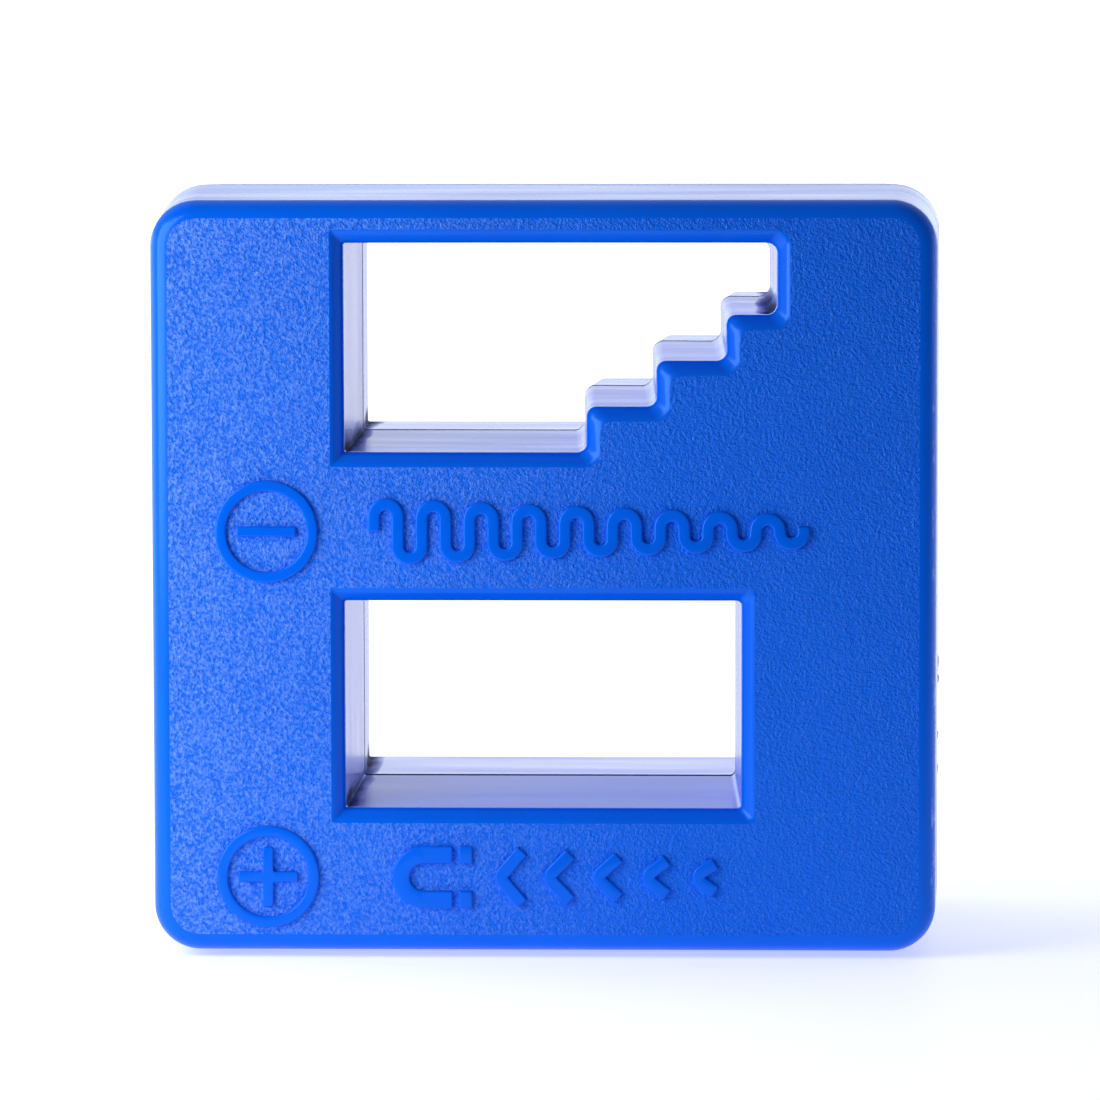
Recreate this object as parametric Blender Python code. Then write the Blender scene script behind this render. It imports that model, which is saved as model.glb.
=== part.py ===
"""Magnetiser and demagnetiser block: two moulded shells glued together round two ferrite block magnets.

Metres, +Z up. The block stands on its lower edge and its front looks along -Y. The two shells meet at Y = 0,
and distances called depth run from that seam towards either face.
"""

import math

import bmesh
import bpy
from mathutils import Vector

MM = 0.001
GAP = 0.3 * MM  # clearance between two pieces that touch or fit together

# The block, measured round the seam where it is largest
WIDTH = 52.0 * MM
HEIGHT = 50.0 * MM
DEPTH = 28.0 * MM
CORNER_RADIUS = 3.0 * MM
EDGE_ROUND = 1.1 * MM  # round of each face's outer edge
DRAFT = 0.5 * MM  # how much each outer wall leans in between the seam and its face
WALL = 1.8 * MM
FACE_WALL = 1.8 * MM
LEAST_HOLLOW_BAR = 3 * WALL  # a thinner bar is moulded solid

# The two openings, measured just inside their chamfered rims
LEFT_BAR = 13.05 * MM  # of plastic between the block's left side and both openings
TOP_BAR = 3.25 * MM  # of plastic above the upper opening
RIM = 0.75 * MM
OPENING_DRAFT = 0.45 * MM  # how much each opening wall closes in by the seam
OPENING_RADIUS = 0.35 * MM
MAGNETISE_WIDTH = 25.8 * MM
MAGNETISE_BOTTOM = 9.85 * MM
MAGNETISE_HEIGHT = 13.6 * MM
BRIDGE_HEIGHT = 9.7 * MM  # of plastic between the two openings
FLOOR_LENGTH = 15.75 * MM  # of the stepped opening, up to its first riser
STEPS = 3
STEP_RUN = 4.53 * MM
STEP_RISE = 2.98 * MM
LAST_RUN = 3.27 * MM

# Lap joint: a lip on the rear shell enters a groove in the front one, and a bead of adhesive fills the rest
LIP_THICKNESS = 0.65 * MM
LIP_LENGTH = 1.3 * MM
LIP_SETBACK = 0.1 * MM  # from the wall's inner face
BEAD = 0.7 * MM

# Locating posts in the corners: a socket in the front shell, a pin on the rear one
POST_DIAMETER = 4.4 * MM
POST_INSET = 5.8 * MM  # of a post's centre from the block's sides
POST_FROM_TOP = 10.0 * MM
POST_FROM_BOTTOM = 17.0 * MM
PIN_DIAMETER = 2.0 * MM
PIN_LENGTH = 3.0 * MM

# Magnets, each in the middle of its bar of plastic
MAGNET_LENGTH = 30.0 * MM
MAGNET_THICKNESS = 5.0 * MM
MAGNET_DEPTH = 20.0 * MM
MAGNET_CHAMFER = 0.4 * MM
RIBS = 2
RIB_THICKNESS = 1.2 * MM
GLUE_LENGTH = 8.0 * MM
GLUE_WIDTH = 3.4 * MM
GLUE_ROUND = 0.6 * MM

# Raised symbols on the front face, in a row along each bar of plastic
RELIEF = 0.3 * MM
RELIEF_ROOT = 0.4 * MM  # how deep inside the face a symbol starts
SYMBOL_SHIFT = {"bridge": -0.25 * MM, "base": 0.25 * MM}  # from the middle of the bar
RING_INSET = 8.0 * MM  # of a ring's centre from the block's left side
RING_RADIUS = 3.35 * MM
RING_STROKE = 0.72 * MM
BAR_LENGTH = 3.9 * MM
BAR_STROKE = 0.68 * MM
WAVE_INSET = 1.95 * MM  # from the line of the openings' left sides
WAVE_STROKE = 0.8 * MM
WAVE_LOOPS = 18
WAVE_PITCH = 1.55 * MM
WAVE_HEIGHT = 1.8 * MM
WAVE_LAST_HEIGHT = 0.62 * MM
HORSESHOE_INSET = 3.05 * MM
HORSESHOE_HEIGHT = 4.1 * MM
HORSESHOE_ARM = 1.9 * MM
HORSESHOE_STROKE = 1.15 * MM
POLE_GAP = 0.4 * MM
POLE_LENGTH = 0.9 * MM
CHEVRONS = 5
CHEVRON_GAP = 1.75 * MM
CHEVRON_PITCH = 3.15 * MM
CHEVRON_REACH = 1.5 * MM
CHEVRON_STROKE = 0.85 * MM
CHEVRON_HEIGHT = 1.75 * MM
CHEVRON_LAST_HEIGHT = 0.95 * MM

ARC_STEPS = 5
EDGE_STEPS = 3
CHAMFER_STEPS = 1
LOOP_STEPS = 5
RING_STEPS = 40
POST_STEPS = 20
OVERSHOOT = 1.0 * MM  # how far a cutter runs past what it cuts


def clear_scene():
    for obj in list(bpy.data.objects):
        bpy.data.objects.remove(obj)


def material(name, colour, roughness, metallic=0.0):
    made = bpy.data.materials.new(name)
    made.use_nodes = True
    shader = made.node_tree.nodes["Principled BSDF"]
    shader.inputs["Base Color"].default_value = (*colour, 1.0)
    shader.inputs["Roughness"].default_value = roughness
    shader.inputs["Metallic"].default_value = metallic
    made.diffuse_color = (*colour, 1.0)
    return made


# Outlines are lists of (x, z) corners that run anticlockwise when +X is right and +Z is up.


def rectangle(left, bottom, right, top):
    return [(left, bottom), (right, bottom), (right, top), (left, top)]


def block_corners():
    return rectangle(-WIDTH / 2, 0.0, WIDTH / 2, HEIGHT)


def magnetise_corners():
    right = OPENING_LEFT + MAGNETISE_WIDTH
    return rectangle(OPENING_LEFT, MAGNETISE_BOTTOM, right, MAGNETISE_TOP)


def risers():
    return [OPENING_LEFT + FLOOR_LENGTH + step * STEP_RUN for step in range(STEPS)]


def demagnetise_corners(top):
    z = DEMAGNETISE_BOTTOM
    corners = [(OPENING_LEFT, z)]
    for x in risers():
        corners.append((x, z))
        z += STEP_RISE
        corners.append((x, z))
    right = risers()[-1] + LAST_RUN
    return corners + [(right, z), (right, top), (OPENING_LEFT, top)]


def grown(corners, distance):
    """The outline with every side moved outwards by distance."""
    moved = []
    for index, corner in enumerate(corners):
        here = Vector(corner)
        before = (here - Vector(corners[index - 1])).normalized()
        after = (Vector(corners[(index + 1) % len(corners)]) - here).normalized()
        normals = Vector((before.y, -before.x)) + Vector((after.y, -after.x))
        moved.append(here + normals * distance / (1.0 + before.dot(after)))
    return [tuple(point) for point in moved]


def rounded(corners, radius):
    """The outline with each corner turned into an arc, outward and inward corners alike."""
    points = []
    for index, corner in enumerate(corners):
        here = Vector(corner)
        back = (Vector(corners[index - 1]) - here).normalized()
        on = (Vector(corners[(index + 1) % len(corners)]) - here).normalized()
        half = back.angle(on) / 2
        centre = here + (back + on).normalized() * radius / math.sin(half)
        start = (here + back * radius / math.tan(half) - centre).normalized()
        end = (here + on * radius / math.tan(half) - centre).normalized()
        for step in range(ARC_STEPS + 1):
            points.append(tuple(centre + start.slerp(end, step / ARC_STEPS) * radius))
    return points


def circle(x, z, radius, steps):
    turns = [math.tau * step / steps for step in range(steps)]
    return [(x + radius * math.cos(turn), z + radius * math.sin(turn)) for turn in turns]


def stroke(points, width):
    """The outline of a pen line of this width along an open row of (x, z) points."""
    left, right = [], []
    for index, point in enumerate(points):
        here = Vector(point)
        before = (here - Vector(points[max(index - 1, 0)])).normalized()
        after = (Vector(points[min(index + 1, len(points) - 1)]) - here).normalized()
        if index == 0:
            before = after
        if index == len(points) - 1:
            after = before
        side = Vector((-before.y, before.x)) + Vector((-after.y, after.x))
        reach = side * width / 2 / (1.0 + before.dot(after))
        left.append(tuple(here + reach))
        right.append(tuple(here - reach))
    return right + left[::-1]


def lofted(name, side, sections, hollow=False):
    """A closed solid through (depth, outline) sections, capped at both ends, or joined into a ring if hollow.

    side is -1 for the front shell and 1 for the rear one.
    """
    mesh = bmesh.new()
    rings = []
    for depth, outline in sections:
        rings.append([mesh.verts.new((x, side * depth, z)) for x, z in outline])
    following = rings[1:] + rings[:1] if hollow else rings[1:]
    for near, far in zip(rings, following):
        for index in range(len(near)):
            on = (index + 1) % len(near)
            mesh.faces.new((near[index], near[on], far[on], far[index]))
    if not hollow:
        mesh.faces.new(rings[0][::-1])
        mesh.faces.new(rings[-1])
    if mesh.calc_volume(signed=True) < 0.0:
        bmesh.ops.reverse_faces(mesh, faces=mesh.faces)
    return finished(name, mesh)


def finished(name, mesh):
    data = bpy.data.meshes.new(name)
    mesh.to_mesh(data)
    mesh.free()
    obj = bpy.data.objects.new(name, data)
    bpy.context.scene.collection.objects.link(obj)
    return obj


def prism(name, side, outline, shallow, deep):
    return lofted(name, side, [(shallow, outline), (deep, outline)])


def tube(name, side, outer, inner, shallow, deep):
    return lofted(name, side, [(shallow, outer), (deep, outer), (deep, inner), (shallow, inner)], hollow=True)


def rounded_box(name, centre, size, radius, steps):
    """A box with its edges cut by a chamfer (1 step) or rounded (more)."""
    mesh = bmesh.new()
    bmesh.ops.create_cube(mesh, size=1.0)
    bmesh.ops.scale(mesh, vec=size, verts=mesh.verts)
    bmesh.ops.translate(mesh, vec=centre, verts=mesh.verts)
    bmesh.ops.bevel(
        mesh, geom=mesh.edges[:], offset=radius, segments=steps, profile=0.5, affect="EDGES", clamp_overlap=True
    )
    return finished(name, mesh)


def combine(target, tool, operation):
    """Adds or cuts with a helper, which stays in the scene as a hidden wire shape."""
    tool.hide_render = True
    tool.display_type = "WIRE"
    modifier = target.modifiers.new(tool.name, "BOOLEAN")
    modifier.operation = operation
    modifier.object = tool


def outer_body(name, side):
    """The solid block of one shell, from its rim at the seam to the rounded edge of its face."""
    corners = block_corners()
    rim = rounded(grown(corners, -DRAFT * SEAM_DEPTH / FACE_DEPTH), CORNER_RADIUS)
    sections = [(SEAM_DEPTH, rim)]
    for step in range(EDGE_STEPS + 1):
        turn = math.pi / 2 * step / EDGE_STEPS
        depth = FACE_DEPTH - EDGE_ROUND * (1.0 - math.sin(turn))
        inset = EDGE_ROUND * (1.0 - math.cos(turn))
        lean = DRAFT * depth / FACE_DEPTH
        sections.append((depth, rounded(grown(corners, -inset - lean), CORNER_RADIUS - inset)))
    return lofted(name, side, sections)


def inset_outline(inset):
    """The block's outline at the seam, moved inwards."""
    return rounded(grown(block_corners(), -inset), CORNER_RADIUS - inset)


def cavity(name, side):
    """What is hollowed out of a shell, from past the seam to the inside of its face."""
    sections = []
    for depth in (SEAM_DEPTH - OVERSHOOT, CAVITY_DEPTH):
        sections.append((depth, inset_outline(WALL + DRAFT * depth / FACE_DEPTH)))
    return lofted(name, side, sections)


def opening_growth(depth):
    """How much wider each way an opening is at this depth than where its rim starts."""
    rim_depth = FACE_DEPTH - RIM
    return -OPENING_DRAFT * (rim_depth - depth) / rim_depth


def wall_corners(opening):
    """What the wall round an opening follows: the opening, raised if the bar above it is too thin to hollow out."""
    if opening == "magnetise" or TOP_BAR > LEAST_HOLLOW_BAR:
        return OPENINGS[opening]
    return demagnetise_corners(HEIGHT - LEAST_HOLLOW_BAR / 2)


def opening_wall(name, side, corners):
    """The wall of plastic round an opening, from the seam into the face."""
    sections = []
    for depth in (SEAM_DEPTH, ROOT_DEPTH):
        sections.append((depth, rounded(grown(corners, WALL + opening_growth(depth)), OPENING_RADIUS)))
    return lofted(name, side, sections)


def opening_cut(name, side, corners):
    """What is cut through a shell for an opening: its drafted walls and its chamfered rim."""
    sections = []
    for depth in (SEAM_DEPTH - OVERSHOOT, FACE_DEPTH - RIM):
        sections.append((depth, rounded(grown(corners, opening_growth(depth)), OPENING_RADIUS)))
    sections.append((FACE_DEPTH + OVERSHOOT, rounded(grown(corners, RIM + OVERSHOOT), OPENING_RADIUS)))
    return lofted(name, side, sections)


def post_places():
    for x in (-WIDTH / 2 + POST_INSET, WIDTH / 2 - POST_INSET):
        for z in (POST_FROM_BOTTOM, HEIGHT - POST_FROM_TOP):
            yield x, z


def bar_inside(bar, left):
    """Lowest and highest z of a rib whose left side is here, to halfway into the walls below and above it."""
    if bar == "base":
        return DRAFT + WALL / 2, MAGNETISE_BOTTOM - WALL / 2
    climbed = sum(1 for riser in risers() if riser + WALL < left)
    return MAGNETISE_TOP + WALL / 2, DEMAGNETISE_BOTTOM + climbed * STEP_RISE - WALL / 2


def rib_places():
    """Left sides of the ribs behind a magnet, then of the two that stop its ends."""
    pitch = MAGNET_LENGTH / RIBS
    for index in range(RIBS):
        yield MAGNET_X - MAGNET_LENGTH / 2 + pitch * (index + 0.5) - RIB_THICKNESS / 2
    yield MAGNET_X - MAGNET_LENGTH / 2 - GAP - RIB_THICKNESS
    yield MAGNET_X + MAGNET_LENGTH / 2 + GAP


def add_ribs(shell, side, bar):
    """Ribs across a bar, with the room for its magnet taken out of them."""
    for index, left in enumerate(rib_places()):
        low, high = bar_inside(bar, left)
        outline = rectangle(left, low, left + RIB_THICKNESS, high)
        rib = prism(f"{shell.name}_{bar}_rib_{index}", side, outline, RIB_DEPTH, ROOT_DEPTH)
        combine(shell, rib, "UNION")
    reach = MAGNET_LENGTH / 2 + GAP
    half = MAGNET_THICKNESS / 2 + GAP
    room = rectangle(MAGNET_X - reach, MAGNET_Z[bar] - half, MAGNET_X + reach, MAGNET_Z[bar] + half)
    pocket = prism(f"{shell.name}_{bar}_pocket", side, room, -OVERSHOOT, MAGNET_DEPTH / 2 + GAP)
    combine(shell, pocket, "DIFFERENCE")


def make_shell(name, side, finish):
    """One shell without what only it has: walls, posts, ribs and openings."""
    shell = outer_body(name, side)
    combine(shell, cavity(f"{name}_cavity", side), "DIFFERENCE")
    for opening in OPENINGS:
        wall = opening_wall(f"{name}_{opening}_wall", side, wall_corners(opening))
        combine(shell, wall, "UNION")
    for index, (x, z) in enumerate(post_places()):
        outline = circle(x, z, POST_DIAMETER / 2, POST_STEPS)
        combine(shell, prism(f"{name}_post_{index}", side, outline, SEAM_DEPTH, ROOT_DEPTH), "UNION")
    for bar in MAGNET_Z:
        add_ribs(shell, side, bar)
    for opening, corners in OPENINGS.items():
        combine(shell, opening_cut(f"{name}_{opening}_cut", side, corners), "DIFFERENCE")
    shell.data.materials.append(finish)
    return shell


def make_front_shell(finish):
    """The shell with the groove of the lap joint, the sockets for the pins, and the raised symbols."""
    shell = make_shell("front_shell", -1, finish)
    groove = tube(
        "groove", -1, inset_outline(LIP_OUTER - GAP), inset_outline(LIP_INNER + GAP), -OVERSHOOT, GROOVE_DEPTH
    )
    combine(shell, groove, "DIFFERENCE")
    for index, (x, z) in enumerate(post_places()):
        outline = circle(x, z, PIN_DIAMETER / 2 + GAP, POST_STEPS)
        combine(shell, prism(f"socket_{index}", -1, outline, -OVERSHOOT, PIN_LENGTH + GAP), "DIFFERENCE")
    for symbol in symbols():
        combine(shell, symbol, "UNION")
    return shell


def make_rear_shell(finish):
    """The shell with the lip of the lap joint and the pins."""
    shell = make_shell("rear_shell", 1, finish)
    lip = tube("lip", 1, inset_outline(LIP_OUTER), inset_outline(LIP_INNER), -LIP_LENGTH, OVERSHOOT)
    combine(shell, lip, "UNION")
    for index, (x, z) in enumerate(post_places()):
        outline = circle(x, z, PIN_DIAMETER / 2, POST_STEPS)
        combine(shell, prism(f"pin_{index}", 1, outline, -PIN_LENGTH, OVERSHOOT), "UNION")
    return shell


def raised(name, outline):
    return prism(name, -1, outline, FACE_DEPTH - RELIEF_ROOT, FACE_DEPTH + RELIEF)


def ring_symbol(name, z):
    outer = circle(RING_X, z, RING_RADIUS, RING_STEPS)
    inner = circle(RING_X, z, RING_RADIUS - RING_STROKE, RING_STEPS)
    return tube(name, -1, outer, inner, FACE_DEPTH - RELIEF_ROOT, FACE_DEPTH + RELIEF)


def wave_line(z):
    """The middle of a winding line whose loops get lower to the right, as a dying magnetic field does."""
    radius = WAVE_PITCH / 2
    points = [(WAVE_START, z)]
    for loop in range(WAVE_LOOPS):
        share = loop / (WAVE_LOOPS - 1)
        height = WAVE_HEIGHT + (WAVE_LAST_HEIGHT - WAVE_HEIGHT) * share
        up = 1 if loop % 2 == 0 else -1
        straight = max(height - radius, 0.0)
        bend = min(height, radius)
        steps = range(LOOP_STEPS + 1) if straight else range(1, LOOP_STEPS)
        for step in steps:
            turn = math.pi * step / LOOP_STEPS
            x = WAVE_START + loop * WAVE_PITCH + radius * (1.0 - math.cos(turn))
            points.append((x, z + up * (straight + bend * math.sin(turn))))
        if not straight:
            points.append((WAVE_START + (loop + 1) * WAVE_PITCH, z))
    return points


def horseshoe_lines(z):
    """The middles of a horseshoe magnet's body and of its two pole tips, with its opening to the right."""
    radius = (HORSESHOE_HEIGHT - HORSESHOE_STROKE) / 2
    bend_x = HORSESHOE_LEFT + HORSESHOE_HEIGHT / 2
    arm_end = POLE_START - POLE_GAP
    body = [(arm_end, z + radius)]
    for step in range(2 * LOOP_STEPS + 1):
        turn = math.pi * (0.5 + step / (2 * LOOP_STEPS))
        body.append((bend_x + radius * math.cos(turn), z + radius * math.sin(turn)))
    body.append((arm_end, z - radius))
    lines = [body]
    for pole_z in (z + radius, z - radius):
        lines.append([(POLE_START, pole_z), (POLE_START + POLE_LENGTH, pole_z)])
    return lines


def chevron_line(index, z):
    share = index / (CHEVRONS - 1)
    height = CHEVRON_HEIGHT + (CHEVRON_LAST_HEIGHT - CHEVRON_HEIGHT) * share
    x = CHEVRON_START + index * CHEVRON_PITCH
    return [(x + CHEVRON_REACH, z + height), (x, z), (x + CHEVRON_REACH, z - height)]


def cross_corners(z):
    """A plus sign as one outline."""
    half, arm = BAR_STROKE / 2, BAR_LENGTH / 2
    quarter = [(half, half), (half, arm), (-half, arm)]
    points = []
    for turn in range(4):
        c, s = round(math.cos(turn * math.pi / 2)), round(math.sin(turn * math.pi / 2))
        points += [(RING_X + x * c - y * s, z + x * s + y * c) for x, y in quarter]
    return points


def symbols():
    """Every raised symbol: a ringed minus and a dying wave above, a ringed plus and a pulling magnet below."""
    above = MAGNET_Z["bridge"] + SYMBOL_SHIFT["bridge"]
    below = MAGNET_Z["base"] + SYMBOL_SHIFT["base"]
    bar = [(RING_X - BAR_LENGTH / 2, above), (RING_X + BAR_LENGTH / 2, above)]
    made = [
        ring_symbol("minus_ring", above),
        raised("minus_bar", stroke(bar, BAR_STROKE)),
        raised("wave", stroke(wave_line(above), WAVE_STROKE)),
        ring_symbol("plus_ring", below),
        raised("plus_cross", cross_corners(below)),
    ]
    for index, line in enumerate(horseshoe_lines(below)):
        made.append(raised(f"horseshoe_{index}", stroke(line, HORSESHOE_STROKE)))
    for index in range(CHEVRONS):
        made.append(raised(f"chevron_{index}", stroke(chevron_line(index, below), CHEVRON_STROKE)))
    return made


def make_bead(finish):
    bead = tube(
        "seam_adhesive",
        -1,
        inset_outline(LIP_OUTER),
        inset_outline(LIP_INNER),
        LIP_LENGTH + GAP,
        GROOVE_DEPTH - GAP,
    )
    bead.data.materials.append(finish)


def make_magnet(bar, finish):
    size = (MAGNET_LENGTH, MAGNET_DEPTH, MAGNET_THICKNESS)
    magnet = rounded_box(f"{bar}_magnet", (MAGNET_X, 0.0, MAGNET_Z[bar]), size, MAGNET_CHAMFER, CHAMFER_STEPS)
    magnet.data.materials.append(finish)


def make_glue(bar, finish):
    """A flattened dab between the magnet and the inside of the rear face."""
    near = MAGNET_DEPTH / 2 + GAP
    far = CAVITY_DEPTH - GAP
    size = (GLUE_LENGTH, far - near, GLUE_WIDTH)
    centre = (MAGNET_X, (near + far) / 2, MAGNET_Z[bar])
    dab = rounded_box(f"{bar}_magnet_glue", centre, size, GLUE_ROUND, EDGE_STEPS)
    dab.data.materials.append(finish)


FACE_DEPTH = DEPTH / 2
SEAM_DEPTH = GAP / 2
CAVITY_DEPTH = FACE_DEPTH - FACE_WALL
ROOT_DEPTH = FACE_DEPTH - FACE_WALL / 2  # how deep a rib, post or opening wall is rooted in the face
OPENING_LEFT = LEFT_BAR - WIDTH / 2
MAGNETISE_TOP = MAGNETISE_BOTTOM + MAGNETISE_HEIGHT
DEMAGNETISE_BOTTOM = MAGNETISE_TOP + BRIDGE_HEIGHT
OPENINGS = {"magnetise": magnetise_corners(), "demagnetise": demagnetise_corners(HEIGHT - TOP_BAR)}
MAGNET_X = OPENING_LEFT + MAGNETISE_WIDTH / 2
MAGNET_Z = {"bridge": MAGNETISE_TOP + BRIDGE_HEIGHT / 2, "base": (DRAFT + MAGNETISE_BOTTOM) / 2}
LIP_INNER = WALL - LIP_SETBACK
LIP_OUTER = LIP_INNER - LIP_THICKNESS
GROOVE_DEPTH = LIP_LENGTH + GAP + BEAD + GAP
RIB_DEPTH = GROOVE_DEPTH + GAP  # where a rib ends, clear of the lap joint
RING_X = RING_INSET - WIDTH / 2
WAVE_START = OPENING_LEFT + WAVE_INSET
HORSESHOE_LEFT = OPENING_LEFT + HORSESHOE_INSET
POLE_START = HORSESHOE_LEFT + HORSESHOE_HEIGHT / 2 + HORSESHOE_ARM + POLE_GAP
CHEVRON_START = POLE_START + POLE_LENGTH + CHEVRON_GAP

clear_scene()
blue_abs = material("blue_abs", (0.005, 0.105, 0.66), 0.3)
make_front_shell(blue_abs)
make_rear_shell(blue_abs)
ferrite = material("ferrite", (0.035, 0.035, 0.038), 0.6, 0.2)
hot_melt = material("hot_melt", (0.75, 0.7, 0.55), 0.4)
for bar_name in MAGNET_Z:
    make_magnet(bar_name, ferrite)
    make_glue(bar_name, hot_melt)
make_bead(material("cured_cement", (0.6, 0.68, 0.85), 0.3))
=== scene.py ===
# %% [markdown]
# # A magnetiser and demagnetiser block
#
# A watchmaker's block of blue plastic with two openings. A tip put through the lower one becomes magnetic,
# and a tip drawn over the steps of the upper one loses it again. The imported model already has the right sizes
# and places, so it is loaded first and never moved. What is made here is the fine surface of the two moulded
# shells, every finish, and the light to see them by.

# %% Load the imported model
import math
import random

import bmesh
import bpy
from mathutils import Euler, Matrix, Vector


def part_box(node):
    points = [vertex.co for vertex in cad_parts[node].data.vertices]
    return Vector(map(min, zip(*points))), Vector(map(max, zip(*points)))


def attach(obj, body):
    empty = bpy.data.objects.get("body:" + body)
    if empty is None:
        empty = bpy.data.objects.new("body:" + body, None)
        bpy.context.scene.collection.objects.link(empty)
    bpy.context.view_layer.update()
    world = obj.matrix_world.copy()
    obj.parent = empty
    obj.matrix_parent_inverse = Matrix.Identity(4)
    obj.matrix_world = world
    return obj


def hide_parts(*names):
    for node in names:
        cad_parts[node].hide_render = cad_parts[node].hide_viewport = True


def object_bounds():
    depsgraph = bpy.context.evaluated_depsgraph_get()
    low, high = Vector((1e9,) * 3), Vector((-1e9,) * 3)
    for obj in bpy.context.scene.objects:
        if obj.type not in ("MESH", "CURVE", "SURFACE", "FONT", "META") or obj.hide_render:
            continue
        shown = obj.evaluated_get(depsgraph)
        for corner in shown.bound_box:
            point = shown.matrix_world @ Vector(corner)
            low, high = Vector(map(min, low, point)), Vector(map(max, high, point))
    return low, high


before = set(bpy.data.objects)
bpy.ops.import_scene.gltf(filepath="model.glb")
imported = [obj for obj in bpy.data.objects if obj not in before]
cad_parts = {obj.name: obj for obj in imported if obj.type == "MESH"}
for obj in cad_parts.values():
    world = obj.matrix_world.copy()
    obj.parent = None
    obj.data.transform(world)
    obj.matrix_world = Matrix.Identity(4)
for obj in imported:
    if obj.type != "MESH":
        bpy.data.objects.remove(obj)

MM = 0.001
cad_low, cad_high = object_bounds()
print("packed nodes:", ", ".join(sorted(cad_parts)))

# %% [markdown]
# ## Camera
#
# A long lens looks almost straight at the front, from a little above and a little to the right. The camera
# turns about the middle of the front face, which is the easiest way to hold a block in view: yaw, pitch and
# roll first, and then the distance back along the line of sight.

# %% Place the camera
FACE_DEPTH = 14.0 * MM  # from the seam, at Y = 0, to the front face and to the rear one
CAMERA_DISTANCE = 424.14 * MM
CAMERA_YAW = math.radians(1.803)
CAMERA_PITCH = math.radians(5.560)
CAMERA_ROLL = math.radians(0.104)
CAMERA_RIGHT = 0.435 * MM
CAMERA_UP = 1.851 * MM
SENSOR_WIDTH = 36.0
LENS_PER_SENSOR = 5.9367  # a long lens: the view is a sixth as wide as it is far


def place_camera():
    aim = Vector((0.0, -FACE_DEPTH, (cad_low.z + cad_high.z) / 2))
    turned = Euler((math.pi / 2 - CAMERA_PITCH, 0.0, CAMERA_YAW)).to_matrix()
    turned = turned @ Matrix.Rotation(-CAMERA_ROLL, 3, "Z")
    lens = bpy.data.cameras.new("camera")
    lens.sensor_width = SENSOR_WIDTH
    lens.lens = SENSOR_WIDTH * LENS_PER_SENSOR
    lens.clip_start = 10 * MM
    camera = bpy.data.objects.new("camera", lens)
    back_off = turned @ Vector((CAMERA_RIGHT, CAMERA_UP, CAMERA_DISTANCE))
    camera.matrix_world = Matrix.Translation(aim + back_off) @ turned.to_4x4()
    bpy.context.scene.collection.objects.link(camera)
    bpy.context.scene.camera = camera
    return camera


camera = place_camera()
print("camera at", [round(value / MM) for value in camera.matrix_world.translation], "mm")

# %% [markdown]
# ## Helpers for finishes
#
# A finish is a node tree. One small function adds a node with its settings and its links, and another turns
# the hex colours of a paint chart into the linear numbers that the shader works with.

# %% Add nodes and read colours


def linear(hex_colour):
    """The linear RGBA of an sRGB colour such as "#0055CC"."""
    channels = [int(hex_colour[start : start + 2], 16) / 255 for start in (1, 3, 5)]
    straight = [c / 12.92 if c <= 0.04045 else ((c + 0.055) / 1.055) ** 2.4 for c in channels]
    return (*straight, 1.0)


def add(tree, kind, inputs=None, **settings):
    """Adds a node. An input is a value, or another node's output socket to link from."""
    node = tree.nodes.new(kind)
    for name, value in settings.items():
        setattr(node, name, value)
    for key, value in (inputs or {}).items():
        if isinstance(value, bpy.types.NodeSocket):
            tree.links.new(value, node.inputs[key])
        else:
            node.inputs[key].default_value = value
    return node


def new_finish(name, shader_inputs):
    """A material with a Principled shader, and the Object coordinates to pattern it by."""
    made = bpy.data.materials.new(name)
    made.use_nodes = True
    tree = made.node_tree
    tree.nodes.clear()
    shader = add(tree, "ShaderNodeBsdfPrincipled", shader_inputs)
    add(tree, "ShaderNodeOutputMaterial", {"Surface": shader.outputs["BSDF"]})
    place = add(tree, "ShaderNodeTexCoord").outputs["Object"]
    return made, tree, shader, place


def per_mm(width):
    """The scale of a noise whose features are about this many millimetres across."""
    return 1.0 / (width * MM)


print("a mid grey is", round(linear("#808080")[0], 3), "in linear light")

# %% [markdown]
# ## The sizes that the fine surface needs
#
# These repeat the sizes that the block was designed with, so that the fine shells lie exactly where the
# packed ones do. Only the small radii are finer: a mould's corners and rims are never quite sharp, and each
# one catches a thin line of light.

# %% Sizes of the shells
HEIGHT = 50.0 * MM
WIDTH = 52.0 * MM
HALF_GAP = 0.15 * MM  # from the seam plane to each shell's rim
CORNER_RADIUS = 3.0 * MM
EDGE_ROUND = 1.1 * MM
DRAFT = 0.5 * MM  # how far the outer walls lean in from the seam to a face
WALL = 1.8 * MM

LEFT = -12.95 * MM  # of both openings, as the four below are, where the chamfered rim starts
LOWER_RIGHT = 12.85 * MM
LOWER_BOTTOM = 9.85 * MM
LOWER_TOP = 23.45 * MM
UPPER_TOP = 46.75 * MM
UPPER_BOTTOM = 33.15 * MM
FIRST_RISER = 2.8 * MM
STEPS = 3
STEP_RUN = 4.53 * MM
STEP_RISE = 2.98 * MM
LAST_RUN = 3.27 * MM
CHAMFER = 0.75 * MM
OPENING_DRAFT = 0.45 * MM
SEAM_EASE = 0.12 * MM  # the tiny round on each outer rim at the seam
OPENING_EASE = 0.18 * MM  # and on each rim inside an opening
SHARP_CORNER = 0.12 * MM
ROUND_CORNER = 0.3 * MM
STEP_CORNER = 0.62 * MM
print("steps climb", round(STEPS * STEP_RISE / MM, 2), "mm in all")

# %% [markdown]
# ## Helpers for pieces
#
# A shape starts as a flat face in the plane of the seam and is pushed towards -Y, which is how a mould
# opens. The rear shell is the same shape turned over, so it is mirrored at the very end.

# %% Start, combine and finish a mesh


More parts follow.
